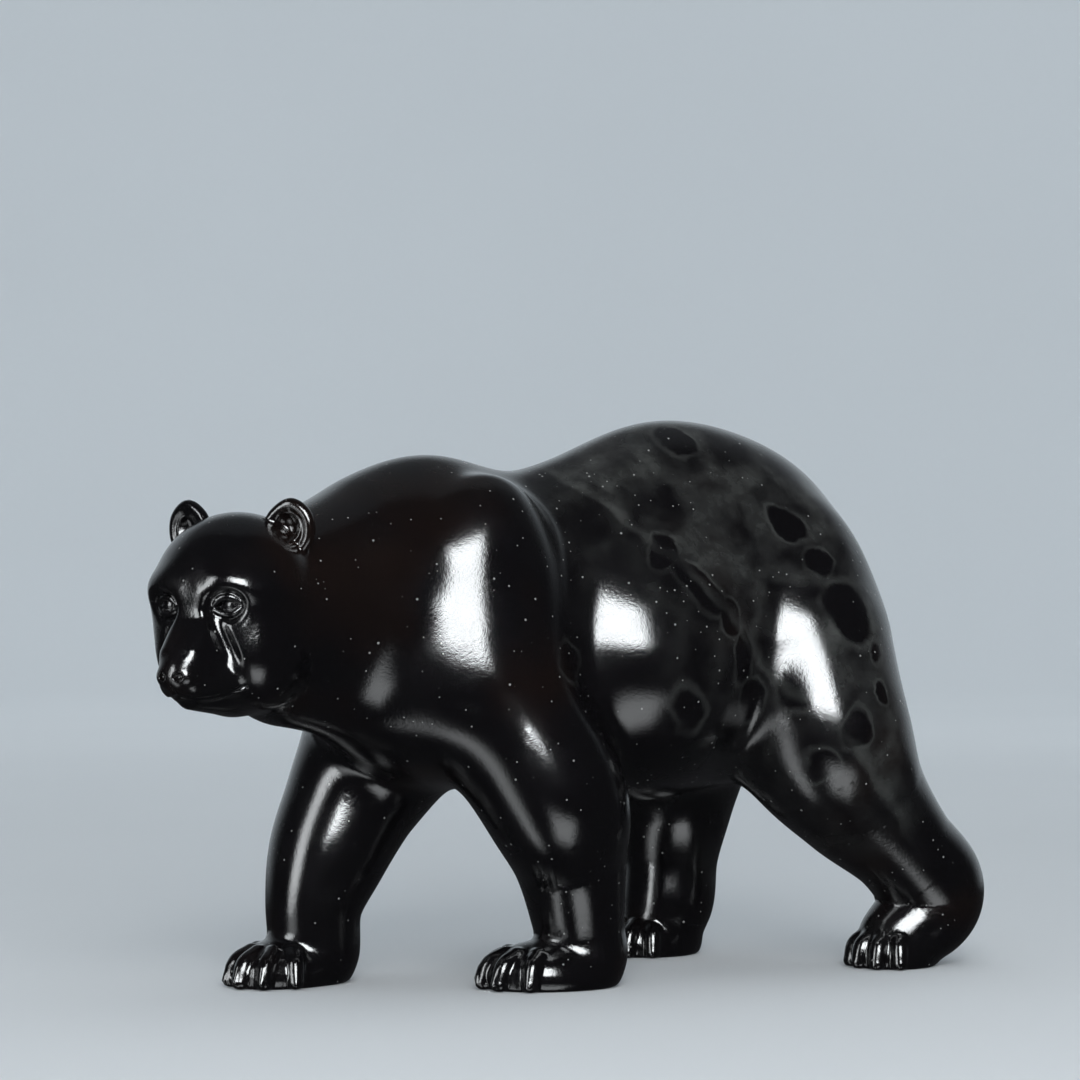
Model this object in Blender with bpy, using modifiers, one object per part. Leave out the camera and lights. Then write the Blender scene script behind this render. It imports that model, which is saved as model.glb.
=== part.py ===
"""A walking bear, a cast figurine in one solid that stands on four flat soles.

Metres, Z up. The bear walks towards -X and its left side is towards -Y.
The origin is on the floor, under the middle of the figure.

The figure is put together as a sculptor blocks out a body: rounded masses are
joined, a voxel remesh makes one skin of them, and each point of that skin is
then moved onto a smooth surface that is worked out from the same masses.
"""

import math

import bmesh
import bpy
import numpy as np
from mathutils import Matrix, Vector

# Driving size: from the floor to the top of the rump.
HEIGHT = 0.192

# All sizes of the figure are shares of its height, in hundredths.
SHARE = HEIGHT / 100.0

# The skin's grid, and the number of triangles left at the end.
SKIN_GRID = 0.0013
TRIANGLES = 9400

# The head: its centre, and how far it turns from the walk towards the left.
HEAD_CENTRE = np.array((-64.6, -5.0, 64.5))
HEAD_TURN = math.radians(30.0)

WORLD_AXES = np.eye(3)


def melt(first, second, reach):
    """Join two distance fields with a soft fillet that starts within reach."""
    share = np.maximum(reach - np.abs(first - second), 0.0) / reach
    return np.minimum(first, second) - share ** 3 * reach / 6.0


def carve(solid, cutter, reach):
    """Take a cutter out of a solid and soften the edge it leaves."""
    return -melt(-solid, cutter, reach)


def melt_all(masses, points, reach):
    """Join a list of masses into one distance field."""
    field = masses[0].distance(points)
    for mass in masses[1:]:
        field = melt(field, mass.distance(points), reach)
    return field


class Ball:
    """A ball stretched along three axes."""

    def __init__(self, centre, half_sizes, axes=WORLD_AXES):
        self.centre = np.asarray(centre, dtype=float)
        self.half_sizes = np.asarray(half_sizes, dtype=float)
        self.axes = axes

    def distance(self, points):
        local = (points - self.centre) @ self.axes.T / self.half_sizes
        length = np.linalg.norm(local, axis=1)
        slope = np.linalg.norm(local / self.half_sizes, axis=1)
        return length * (length - 1.0) / np.maximum(slope, 1e-6)

    def block(self, mesh):
        stretch = self.axes.T @ np.diag(self.half_sizes)
        matrix = Matrix(stretch.tolist()).to_4x4()
        matrix.translation = Vector(self.centre)
        bmesh.ops.create_icosphere(mesh, subdivisions=3, radius=1.0, matrix=matrix)


class Tube:
    """A round limb that bends and tapers through its stations, each a centre and a radius.

    It is a row of balls, so close that the dips between them are evened out by a parabola.
    """

    STEPS = 8

    def __init__(self, *stations):
        rows = np.array([(*centre, radius) for centre, radius in stations], dtype=float)
        ends = np.vstack((2 * rows[0] - rows[1], rows, 2 * rows[-1] - rows[-2]))
        beads = []
        for before, start, end, after in zip(ends, ends[1:], ends[2:], ends[3:]):
            for step in range(self.STEPS):
                t = step / self.STEPS
                bend = (2 * before - 5 * start + 4 * end - after) * t ** 2
                twist = (3 * start - before - 3 * end + after) * t ** 3
                beads.append(start + ((end - before) * t + bend + twist) / 2)
        beads.append(rows[-1])
        self.beads = np.array(beads)

    def distance(self, points):
        gaps = np.array([np.linalg.norm(points - bead[:3], axis=1) - bead[3] for bead in self.beads])
        nearest = np.clip(gaps.argmin(axis=0), 1, len(self.beads) - 2)
        column = np.arange(len(points))
        here = gaps[nearest, column]
        before = gaps[nearest - 1, column]
        after = gaps[nearest + 1, column]
        bend = np.maximum(before - 2.0 * here + after, 1e-9)
        between = np.clip((before - after) / (2.0 * bend), -1.0, 1.0)
        return here + (after - before) / 2.0 * between + bend / 2.0 * between ** 2

    def block(self, mesh):
        for bead in self.beads:
            matrix = Matrix.Translation(bead[:3]) @ Matrix.Scale(bead[3], 4)
            bmesh.ops.create_icosphere(mesh, subdivisions=2, radius=1.0, matrix=matrix)


class Slab:
    """A box with rounded edges."""

    def __init__(self, centre, half_sizes, rounding, axes=WORLD_AXES):
        self.centre = np.asarray(centre, dtype=float)
        self.inner = np.asarray(half_sizes, dtype=float) - rounding
        self.rounding = rounding
        self.axes = axes

    def distance(self, points):
        over = np.abs((points - self.centre) @ self.axes.T) - self.inner
        outside = np.linalg.norm(np.maximum(over, 0.0), axis=1)
        inside = np.minimum(over.max(axis=1), 0.0)
        return outside + inside - self.rounding


def turned_axes(heading, dip=0.0):
    """Forward, left and up axes for a heading from -X towards -Y, with the front dipped."""
    forward = np.array((-math.cos(heading), -math.sin(heading), 0.0))
    left = np.array((math.sin(heading), -math.cos(heading), 0.0))
    up = np.array((0.0, 0.0, 1.0))
    return np.array((
        forward * math.cos(dip) - up * math.sin(dip),
        left,
        forward * math.sin(dip) + up * math.cos(dip),
    ))


HEAD_AXES = turned_axes(HEAD_TURN)


def on_head(forward, left, up):
    """A place given from the head's centre, in the head's own directions."""
    return HEAD_CENTRE + np.array((forward, left, up)) @ HEAD_AXES


# The trunk, from the shoulders to the rump.
TRUNK = (
    Ball((-16.9, 0.0, 60.7), (27.8, 19.2, 26.0)),      # ribs
    Ball((-26.1, 0.0, 65.7), (21.8, 15.5, 25.5)),      # shoulder hump
    Ball((-25.8, 0.0, 53.0), (17.4, 23.4, 15.4)),      # chest
    Ball((12.4, 0.0, 56.7), (27.1, 28.5, 25.6)),       # belly
    Ball((4.1, 0.0, 69.9), (24.0, 16.3, 20.3)),        # loin
    Ball((25.1, 0.0, 65.8), (32.6, 21.1, 33.2)),       # rump
    Ball((40.0, 0.0, 64.3), (22.9, 21.1, 28.8)),       # buttocks
)

NECK = (
    Tube(((-36.0, 0.0, 68.0), 18.8), ((-48.0, -2.0, 66.0), 16.3), ((-58.0, -4.0, 64.0), 14.3)),
    Tube(((-34.0, 0.0, 56.0), 14.0), ((-54.0, -2.5, 57.0), 11.8)),
)

# Each limb: the flat muscle that joins it to the trunk, then the leg from top to ankle.
NEAR_FORE = (
    Ball((-21.5, -13.1, 65.4), (12.9, 10.8, 22.1)),
    Tube(
        ((-22.0, -11.8, 58.0), 12.4),
        ((-18.1, -15.0, 46.0), 13.0),
        ((-11.5, -18.3, 33.2), 12.7),
        ((-6.5, -15.6, 22.7), 9.9),
        ((-3.9, -14.4, 11.4), 8.0),
        ((-3.0, -14.4, 6.0), 7.8),
    ),
)
FAR_FORE = (
    Ball((-25.0, 12.5, 64.0), (15.0, 10.5, 22.0)),
    Tube(
        ((-25.2, 13.5, 58.0), 13.4),
        ((-25.4, 14.0, 45.0), 14.3),
        ((-32.8, 14.2, 31.5), 11.7),
        ((-37.3, 14.3, 22.6), 10.4),
        ((-40.1, 14.3, 14.0), 8.5),
        ((-40.0, 14.3, 6.0), 7.9),
    ),
)
NEAR_HIND = (
    Ball((43.7, -13.7, 57.4), (16.3, 12.5, 26.4)),
    Tube(
        ((43.2, -14.6, 57.0), 16.4),
        ((45.0, -19.3, 42.5), 15.9),
        ((52.4, -19.1, 31.9), 12.7),
        ((61.2, -20.7, 22.4), 9.8),
        ((68.6, -20.0, 14.8), 9.9),
        ((67.6, -20.0, 9.5), 8.8),
        ((61.0, -19.6, 5.5), 6.4),
    ),
)
FAR_HIND = (
    Ball((37.0, 13.5, 57.0), (16.5, 12.4, 26.0)),
    Tube(
        ((35.9, 15.0, 57.0), 16.9),
        ((36.9, 18.0, 43.0), 16.2),
        ((39.0, 19.5, 29.0), 11.4),
        ((38.7, 20.0, 18.8), 9.1),
        ((37.9, 20.0, 10.0), 8.8),
        ((36.0, 20.0, 6.0), 7.0),
    ),
)
LIMBS = (NEAR_FORE, FAR_FORE, NEAR_HIND, FAR_HIND)

# The head's main masses, in the head's own directions.
SKULL = (
    Ball(on_head(0.3, 0.1, 2.5), (14.2, 14.1, 14.0), HEAD_AXES),
    Ball(on_head(1.8, 6.4, -6.4), (9.8, 7.4, 9.4), HEAD_AXES),
    Ball(on_head(1.6, -5.8, -6.0), (9.6, 6.5, 9.3), HEAD_AXES),
    Ball(on_head(-1.0, 0.0, -8.5), (12.0, 9.5, 8.6), HEAD_AXES),
)
MUZZLE = (
    Tube((on_head(6.5, 0.0, -4.6), 7.0), (on_head(11.8, 0.0, -7.4), 5.4), (on_head(15.8, 0.0, -9.8), 4.1)),
    Tube((on_head(15.6, 1.7, -11.6), 2.4), (on_head(12.8, 2.9, -11.3), 2.8), (on_head(9.4, 4.4, -10.6), 3.0)),
    Tube((on_head(15.6, -1.7, -11.6), 2.4), (on_head(12.8, -2.9, -11.3), 2.8), (on_head(9.4, -4.4, -10.6), 3.0)),
)
CHIN = Tube((on_head(2.0, 0.0, -11.2), 6.0), (on_head(13.6, 0.0, -13.3), 2.5))
BRIDGE = Slab(on_head(13.4, 0.0, -3.9), (5.6, 3.7, 2.4), 1.7, turned_axes(HEAD_TURN, math.radians(54.0)))


class Paw:
    """A broad foot: where its middle stands, where its toes point, and its half-sizes."""

    TOES = 5

    def __init__(self, middle, heading, half_length, half_width, height):
        self.middle = np.array((*middle, 0.0))
        self.axes = turned_axes(heading)
        self.half_length = half_length
        self.half_width = half_width
        self.height = height
        self.foot = Ball(
            self.middle + (0.0, 0.0, 0.28 * height),
            (half_length, half_width, 0.72 * height),
            self.axes,
        )

    def spot(self, bearing, share, up):
        """A place over the sole, at a bearing from the toes' direction and a share of its edge."""
        forward = share * self.half_length * math.cos(bearing)
        left = share * self.half_width * math.sin(bearing)
        return self.middle + np.array((forward, left, up)) @ self.axes

    def toes(self):
        """Each toe: a bent knuckle that comes down to the floor, and a claw on it."""
        toes = []
        for index in range(self.TOES):
            bearing = math.radians(-62.0 + 31.0 * index)
            knuckle = Tube(
                (self.spot(bearing, 0.66, 0.68 * self.height), 1.7),
                (self.spot(bearing, 0.90, 0.50 * self.height), 1.65),
                (self.spot(bearing, 0.99, 0.16 * self.height), 1.5),
            )
            claw = Tube(
                (self.spot(bearing, 1.02, 0.44 * self.height), 0.75),
                (self.spot(bearing, 1.13, 0.06 * self.height), 0.5),
            )
            toes.append((knuckle, claw))
        return toes

    def near(self, points):
        return np.linalg.norm(points - self.middle, axis=1) < 1.8 * self.half_length

    def add(self, points, solid):
        solid = melt(solid, self.foot.distance(points), 2.5)
        for knuckle, claw in self.toes():
            solid = melt(solid, knuckle.distance(points), 0.7)
            solid = melt(solid, claw.distance(points), 0.4)
        return solid


INWARD = math.radians(16.0)
PAWS = (
    Paw((-9.3, -14.2), -INWARD, 12.1, 7.9, 8.4),
    Paw((-44.5, 14.3), INWARD, 12.1, 7.9, 8.4),
    Paw((60.9, -19.8), 0.0, 8.2, 7.2, 8.0),
    Paw((34.8, 20.0), 0.0, 9.8, 7.6, 8.2),
)


def add_ear(points, solid, side):
    """A round cupped ear with a rolled rim, leaning outward and facing a little to its side."""
    axes = turned_axes(HEAD_TURN + side * math.radians(15.0))
    rim = Tube(
        (on_head(0.4, side * 5.8, 13.0), 0.9),
        (on_head(0.2, side * 7.1, 15.9), 1.0),
        (on_head(-0.2, side * 10.1, 17.6), 1.1),
        (on_head(-0.8, side * 12.7, 15.7), 1.1),
        (on_head(-1.0, side * 13.1, 12.5), 1.0),
        (on_head(-0.8, side * 11.6, 9.8), 0.8),
    )
    shell = Ball(on_head(-1.1, side * 9.8, 13.7), (2.0, 3.8, 3.9), axes)
    hollow = Ball(on_head(1.9, side * 10.0, 13.8), (2.9, 2.6, 2.8), axes)
    ear = melt(shell.distance(points), rim.distance(points), 0.8)
    ear = carve(ear, hollow.distance(points), 0.5)
    return melt(solid, ear, 0.9)


def add_eye(points, solid, side):
    """A small eye in its socket between two lids, and the fold that runs down from it."""
    socket = Ball(on_head(14.3, side * 6.6, 0.7), (3.5, 3.7, 3.0), HEAD_AXES)
    eyeball = Ball(on_head(10.0, side * 5.8, 1.1), (2.0, 2.3, 1.9), HEAD_AXES)
    inner_corner = on_head(12.4, side * 3.0, 0.6)
    outer_corner = on_head(10.6, side * 8.3, 1.2)
    upper_lid = Tube(
        (inner_corner, 0.35),
        (on_head(12.4, side * 4.6, 2.6), 0.55),
        (on_head(11.8, side * 6.5, 2.9), 0.6),
        (outer_corner, 0.4),
    )
    lower_lid = Tube(
        (inner_corner, 0.35),
        (on_head(12.1, side * 4.8, -0.5), 0.5),
        (on_head(11.6, side * 6.7, -0.5), 0.5),
        (outer_corner, 0.4),
    )
    fold = Tube(
        (on_head(13.9, side * 4.0, 0.4), 1.1),
        (on_head(13.4, side * 5.4, -3.0), 1.3),
        (on_head(12.6, side * 6.8, -6.6), 1.3),
        (on_head(12.2, side * 8.0, -8.8), 0.9),
    )
    solid = carve(solid, socket.distance(points), 2.2)
    solid = carve(solid, fold.distance(points), 1.0)
    solid = melt(solid, eyeball.distance(points), 0.3)
    solid = melt(solid, upper_lid.distance(points), 0.45)
    return melt(solid, lower_lid.distance(points), 0.45)


def add_brow(points, solid, side):
    """The ridge over an eye, from the bridge of the nose round to the side of the head."""
    ridge = Tube(
        (on_head(11.8, side * 2.6, 3.6), 1.7),
        (on_head(11.5, side * 4.9, 4.4), 2.2),
        (on_head(10.3, side * 7.4, 4.2), 2.2),
        (on_head(8.7, side * 9.0, 3.8), 2.0),
        (on_head(5.4, side * 11.2, 3.0), 1.4),
        (on_head(0.6, side * 12.6, 2.2), 1.2),
    )
    tear_bump = Ball(on_head(13.0, side * 2.7, 1.6), (1.3, 1.0, 0.9), HEAD_AXES)
    solid = melt(solid, ridge.distance(points), 4.0)
    return melt(solid, tear_bump.distance(points), 0.6)


def add_nose(points, solid):
    """The nose pad, its two nostrils, and the groove from the pad to the lips."""
    pad = Ball(on_head(17.8, 0.0, -10.3), (2.2, 3.6, 2.4), turned_axes(HEAD_TURN, math.radians(12.0)))
    solid = melt(solid, pad.distance(points), 0.6)
    for side in (-1.0, 1.0):
        nostril = Ball(on_head(19.6, side * 1.5, -10.3), (1.1, 0.8, 0.65), HEAD_AXES)
        solid = carve(solid, nostril.distance(points), 0.4)
    groove = Tube((on_head(19.4, 0.0, -12.2), 0.35), (on_head(18.2, 0.0, -13.6), 0.35))
    return carve(solid, groove.distance(points), 0.4)


def add_mouth(points, solid):
    """The line of the mouth, rising to its corners under the cheeks."""
    for side in (-1.0, 1.0):
        line = Tube(
            (on_head(17.7, 0.0, -13.8), 0.5),
            (on_head(15.9, side * 2.6, -14.2), 0.5),
            (on_head(13.4, side * 4.4, -13.9), 0.5),
            (on_head(11.0, side * 6.1, -13.0), 0.5),
            (on_head(9.5, side * 7.6, -12.0), 0.4),
        )
        solid = carve(solid, line.distance(points), 0.5)
    return solid


def add_head(points, solid):
    """The head with its muzzle, and all that the face has."""
    head = melt_all(SKULL, points, 5.0)
    head = melt(head, melt_all(MUZZLE, points, 1.5), 1.6)
    head = melt(head, BRIDGE.distance(points), 2.4)
    head = melt(head, CHIN.distance(points), 1.5)
    for side in (-1.0, 1.0):
        head = add_brow(points, head, side)
        head = add_eye(points, head, side)
        head = add_ear(points, head, side)
    head = add_nose(points, head)
    head = add_mouth(points, head)
    return melt(solid, head, 1.6)


def surface(points):
    """Signed distance to the bear's skin, at points given in hundredths of its height."""
    solid = melt_all(TRUNK, points, 12.0)
    solid = melt(solid, melt_all(NECK, points, 6.0), 10.0)
    for muscle, leg in LIMBS:
        limb = melt(muscle.distance(points), leg.distance(points), 8.0)
        solid = melt(solid, limb, 8.0)
    near_head = np.linalg.norm(points - HEAD_CENTRE, axis=1) < 34.0
    solid[near_head] = add_head(points[near_head], solid[near_head])
    for paw in PAWS:
        near_paw = paw.near(points)
        solid[near_paw] = paw.add(points[near_paw], solid[near_paw])
    return solid


def slopes(points):
    """The distance at each point and the direction in which it grows."""
    step = 0.05
    corners = np.array(((1, 1, 1), (1, -1, -1), (-1, 1, -1), (-1, -1, 1))) * step
    distance = np.zeros(len(points))
    change = np.zeros_like(points)
    for corner in corners:
        there = surface(points + corner)
        distance += there / 4.0
        change += there[:, None] * corner / (4.0 * step ** 2)
    return distance, change


def press_to_surface(mesh, rounds):
    """Even out a mesh's points and move each onto the bear's surface."""
    points = np.empty(len(mesh.vertices) * 3)
    mesh.vertices.foreach_get("co", points)
    points = points.reshape(-1, 3) / SHARE
    ends = np.empty(len(mesh.edges) * 2, dtype=int)
    mesh.edges.foreach_get("vertices", ends)
    ends = ends.reshape(-1, 2)
    count = np.bincount(ends.ravel(), minlength=len(points))
    longest_move = 2.0
    for _ in range(rounds):
        distance, slope = slopes(points)
        steepness = np.maximum((slope ** 2).sum(axis=1), 0.05)
        move = np.clip(distance / steepness, -longest_move, longest_move)
        points -= move[:, None] * slope
        middle = np.zeros_like(points)
        for axis in range(3):
            middle[:, axis] += np.bincount(ends[:, 0], points[ends[:, 1], axis], len(points))
            middle[:, axis] += np.bincount(ends[:, 1], points[ends[:, 0], axis], len(points))
        drift = middle / count[:, None] - points
        normal = slope / np.sqrt(steepness)[:, None]
        drift -= (drift * normal).sum(axis=1)[:, None] * normal
        points += 0.4 * drift
    distance, slope = slopes(points)
    steepness = np.maximum((slope ** 2).sum(axis=1), 0.05)
    points -= (distance / steepness)[:, None] * slope
    mesh.vertices.foreach_set("co", (points * SHARE).ravel())
    mesh.update()


def evaluated_mesh(thing):
    """The mesh that an object's modifiers make."""
    graph = bpy.context.evaluated_depsgraph_get()
    return bpy.data.meshes.new_from_object(thing.evaluated_get(graph))


def apply_modifiers(thing):
    """Keep what the modifiers make, and drop them."""
    mesh = evaluated_mesh(thing)
    thing.modifiers.clear()
    old = thing.data
    thing.data = mesh
    bpy.data.meshes.remove(old)


def blocked_out(collection):
    """All masses of the figure in one mesh, as overlapping balls."""
    block = bmesh.new()
    for mass in TRUNK + NECK + SKULL + MUZZLE:
        mass.block(block)
    for muscle, leg in LIMBS:
        muscle.block(block)
        leg.block(block)
    for side in (-1.0, 1.0):
        Ball(on_head(-0.5, side * 9.9, 13.8), (2.6, 4.2, 4.6), HEAD_AXES).block(block)
    for paw in PAWS:
        paw.foot.block(block)
        for knuckle, _ in paw.toes():
            knuckle.block(block)
    bmesh.ops.scale(block, vec=Vector((SHARE, SHARE, SHARE)), verts=block.verts)
    mesh = bpy.data.meshes.new("bear")
    block.to_mesh(mesh)
    block.free()
    bear = bpy.data.objects.new("bear", mesh)
    collection.objects.link(bear)
    return bear


def one_skin(bear, grid, rounds):
    """Wrap everything in one closed skin of an even grid, and press it into shape."""
    remesh = bear.modifiers.new("One skin", "REMESH")
    remesh.mode = "VOXEL"
    remesh.voxel_size = grid
    apply_modifiers(bear)
    press_to_surface(bear.data, rounds)


def stand_on_floor(bear):
    """Thin the skin out, cut the four soles flat, and centre the figure on the origin."""
    thin = bear.modifiers.new("Fewer triangles", "DECIMATE")
    triangles = sum(len(face.vertices) - 2 for face in bear.data.polygons)
    thin.ratio = TRIANGLES / triangles
    apply_modifiers(bear)
    body = bmesh.new()
    body.from_mesh(bear.data)
    cut = bmesh.ops.bisect_plane(
        body,
        geom=body.verts[:] + body.edges[:] + body.faces[:],
        dist=1e-6,
        plane_co=(0.0, 0.0, 0.0),
        plane_no=(0.0, 0.0, -1.0),
        clear_outer=True,
    )
    rims = [item for item in cut["geom_cut"] if isinstance(item, bmesh.types.BMEdge)]
    bmesh.ops.holes_fill(body, edges=rims)
    bmesh.ops.triangulate(body, faces=body.faces[:])
    low = Vector([min(vert.co[axis] for vert in body.verts) for axis in range(3)])
    high = Vector([max(vert.co[axis] for vert in body.verts) for axis in range(3)])
    middle = (low + high) / 2
    bmesh.ops.translate(body, vec=(-middle.x, -middle.y, 0.0), verts=body.verts)
    body.to_mesh(bear.data)
    body.free()


def black_lacquer():
    """The dark cast metal under its thick clear coat."""
    material = bpy.data.materials.new("black_lacquer")
    material.use_nodes = True
    shader = material.node_tree.nodes["Principled BSDF"]
    shader.inputs["Base Color"].default_value = (0.008, 0.007, 0.008, 1.0)
    shader.inputs["Metallic"].default_value = 0.0
    shader.inputs["Roughness"].default_value = 0.12
    material.diffuse_color = (0.02, 0.02, 0.02, 1.0)
    return material


def main():
    """Build the figurine."""
    for thing in list(bpy.data.objects):
        bpy.data.objects.remove(thing)
    collection = bpy.data.collections.new("bear_figurine")
    bpy.context.scene.collection.children.link(collection)
    bear = blocked_out(collection)
    one_skin(bear, 2 * SKIN_GRID, 6)
    one_skin(bear, SKIN_GRID, 4)
    stand_on_floor(bear)
    bear.data.materials.append(black_lacquer())
    bear.data.shade_smooth()


main()
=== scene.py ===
"""The black lacquered bear in a plain pale studio, seen as in its photograph.

The bear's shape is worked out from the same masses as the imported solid, and then
drawn on a much finer skin, so that the face, the ears and the claws come out crisp.
Metres, Z up. The bear walks towards -X and its left side is towards -Y.
"""

import math

import bmesh
import bpy
import numpy as np
from mathutils import Matrix, Vector


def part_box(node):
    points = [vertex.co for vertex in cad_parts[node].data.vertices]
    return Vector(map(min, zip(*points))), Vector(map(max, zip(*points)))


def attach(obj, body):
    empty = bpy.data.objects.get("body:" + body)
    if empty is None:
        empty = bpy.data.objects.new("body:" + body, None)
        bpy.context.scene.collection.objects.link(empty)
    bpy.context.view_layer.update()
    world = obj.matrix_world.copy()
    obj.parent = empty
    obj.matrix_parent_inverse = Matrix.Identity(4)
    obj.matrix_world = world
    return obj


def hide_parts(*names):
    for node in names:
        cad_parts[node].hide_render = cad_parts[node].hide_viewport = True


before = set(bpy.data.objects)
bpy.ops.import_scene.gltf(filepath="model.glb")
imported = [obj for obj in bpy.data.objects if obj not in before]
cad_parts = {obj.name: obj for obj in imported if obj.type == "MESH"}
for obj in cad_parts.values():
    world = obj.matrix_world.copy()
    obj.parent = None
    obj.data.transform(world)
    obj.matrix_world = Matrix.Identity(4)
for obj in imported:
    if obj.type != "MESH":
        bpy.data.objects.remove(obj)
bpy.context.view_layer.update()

# From the floor to the top of the rump, and the hundredth of it that the shape is given in.
HEIGHT = 0.192
SHARE = HEIGHT / 100.0

# The skin's grids, from the first rough one to the one that is kept.
ROUGH_GRID = 0.0034
SKIN_GRID = 0.00145

# The number of triangles that the piece keeps.
TRIANGLES = 188000

# The head: its centre, and how far it turns from the walk towards the left.
HEAD_CENTRE = np.array((-64.6, -5.0, 64.5))
HEAD_TURN = math.radians(30.0)

WORLD_AXES = np.eye(3)


def melt(first, second, reach):
    """Join two distance fields with a soft fillet that starts within reach."""
    share = np.maximum(reach - np.abs(first - second), 0.0) / reach
    return np.minimum(first, second) - share ** 3 * reach / 6.0


def carve(solid, cutter, reach):
    """Take a cutter out of a solid and soften the edge it leaves."""
    return -melt(-solid, cutter, reach)


def melt_all(masses, points, reach):
    """Join a list of masses into one distance field."""
    field = masses[0].distance(points)
    for mass in masses[1:]:
        field = melt(field, mass.distance(points), reach)
    return field


class Ball:
    """A ball stretched along three axes."""

    def __init__(self, centre, half_sizes, axes=WORLD_AXES):
        self.centre = np.asarray(centre, dtype=float)
        self.half_sizes = np.asarray(half_sizes, dtype=float)
        self.axes = axes

    def distance(self, points):
        local = (points - self.centre) @ self.axes.T / self.half_sizes
        length = np.linalg.norm(local, axis=1)
        slope = np.linalg.norm(local / self.half_sizes, axis=1)
        return length * (length - 1.0) / np.maximum(slope, 1e-6)

    def block(self, mesh):
        stretch = self.axes.T @ np.diag(self.half_sizes)
        matrix = Matrix(stretch.tolist()).to_4x4()
        matrix.translation = Vector(self.centre)
        bmesh.ops.create_icosphere(mesh, subdivisions=3, radius=1.0, matrix=matrix)


class Tube:
    """A round limb that bends and tapers through its stations, each a centre and a radius.

    It is a row of balls, so close that the dips between them are evened out by a parabola.
    """

    STEPS = 8

    def __init__(self, *stations):
        rows = np.array([(*centre, radius) for centre, radius in stations], dtype=float)
        ends = np.vstack((2 * rows[0] - rows[1], rows, 2 * rows[-1] - rows[-2]))
        beads = []
        for before, start, end, after in zip(ends, ends[1:], ends[2:], ends[3:]):
            for step in range(self.STEPS):
                t = step / self.STEPS
                bend = (2 * before - 5 * start + 4 * end - after) * t ** 2
                twist = (3 * start - before - 3 * end + after) * t ** 3
                beads.append(start + ((end - before) * t + bend + twist) / 2)
        beads.append(rows[-1])
        self.beads = np.array(beads)

    def distance(self, points):
        gaps = np.array([np.linalg.norm(points - bead[:3], axis=1) - bead[3] for bead in self.beads])
        nearest = np.clip(gaps.argmin(axis=0), 1, len(self.beads) - 2)
        column = np.arange(len(points))
        here = gaps[nearest, column]
        before = gaps[nearest - 1, column]
        after = gaps[nearest + 1, column]
        bend = np.maximum(before - 2.0 * here + after, 1e-9)
        between = np.clip((before - after) / (2.0 * bend), -1.0, 1.0)
        return here + (after - before) / 2.0 * between + bend / 2.0 * between ** 2

    def block(self, mesh):
        for bead in self.beads:
            matrix = Matrix.Translation(bead[:3]) @ Matrix.Scale(bead[3], 4)
            bmesh.ops.create_icosphere(mesh, subdivisions=2, radius=1.0, matrix=matrix)


class Slab:
    """A box with rounded edges."""

    def __init__(self, centre, half_sizes, rounding, axes=WORLD_AXES):
        self.centre = np.asarray(centre, dtype=float)
        self.inner = np.asarray(half_sizes, dtype=float) - rounding
        self.rounding = rounding
        self.axes = axes

    def distance(self, points):
        over = np.abs((points - self.centre) @ self.axes.T) - self.inner
        outside = np.linalg.norm(np.maximum(over, 0.0), axis=1)
        inside = np.minimum(over.max(axis=1), 0.0)
        return outside + inside - self.rounding


def turned_axes(heading, dip=0.0):
    """Forward, left and up axes for a heading from -X towards -Y, with the front dipped."""
    forward = np.array((-math.cos(heading), -math.sin(heading), 0.0))
    left = np.array((math.sin(heading), -math.cos(heading), 0.0))
    up = np.array((0.0, 0.0, 1.0))
    return np.array((
        forward * math.cos(dip) - up * math.sin(dip),
        left,
        forward * math.sin(dip) + up * math.cos(dip),
    ))


HEAD_AXES = turned_axes(HEAD_TURN)


def on_head(forward, left, up):
    """A place given from the head's centre, in the head's own directions."""
    return HEAD_CENTRE + np.array((forward, left, up)) @ HEAD_AXES


# The trunk, from the shoulders to the rump.
TRUNK = (
    Ball((-16.9, 0.0, 60.7), (27.8, 19.2, 26.0)),      # ribs
    Ball((-26.1, 0.0, 65.7), (21.8, 15.5, 25.5)),      # shoulder hump
    Ball((-25.8, 0.0, 53.0), (17.4, 23.4, 15.4)),      # chest
    Ball((12.4, 0.0, 56.7), (27.1, 28.5, 25.6)),       # belly
    Ball((4.1, 0.0, 69.9), (24.0, 16.3, 20.3)),        # loin
    Ball((25.1, 0.0, 65.8), (32.6, 21.1, 33.2)),       # rump
    Ball((40.0, 0.0, 64.3), (22.9, 21.1, 28.8)),       # buttocks
)

NECK = (
    Tube(((-36.0, 0.0, 68.0), 18.8), ((-48.0, -2.0, 66.0), 16.3), ((-58.0, -4.0, 64.0), 14.3)),
    Tube(((-34.0, 0.0, 56.0), 14.0), ((-54.0, -2.5, 57.0), 11.8)),
)

# Each limb: the flat muscle that joins it to the trunk, then the leg from top to ankle.
NEAR_FORE = (
    Ball((-21.5, -13.1, 65.4), (12.9, 10.8, 22.1)),
    Tube(
        ((-22.0, -11.8, 58.0), 12.4),
        ((-18.1, -15.0, 46.0), 13.0),
        ((-11.5, -18.3, 33.2), 12.7),
        ((-6.5, -15.6, 22.7), 9.9),
        ((-3.9, -14.4, 11.4), 8.0),
        ((-3.0, -14.4, 6.0), 7.8),
    ),
)
FAR_FORE = (
    Ball((-25.0, 12.5, 64.0), (15.0, 10.5, 22.0)),
    Tube(
        ((-25.2, 13.5, 58.0), 13.4),
        ((-25.4, 14.0, 45.0), 14.3),
        ((-32.8, 14.2, 31.5), 11.7),
        ((-37.3, 14.3, 22.6), 10.4),
        ((-40.1, 14.3, 14.0), 8.5),
        ((-40.0, 14.3, 6.0), 7.9),
    ),
)
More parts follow.
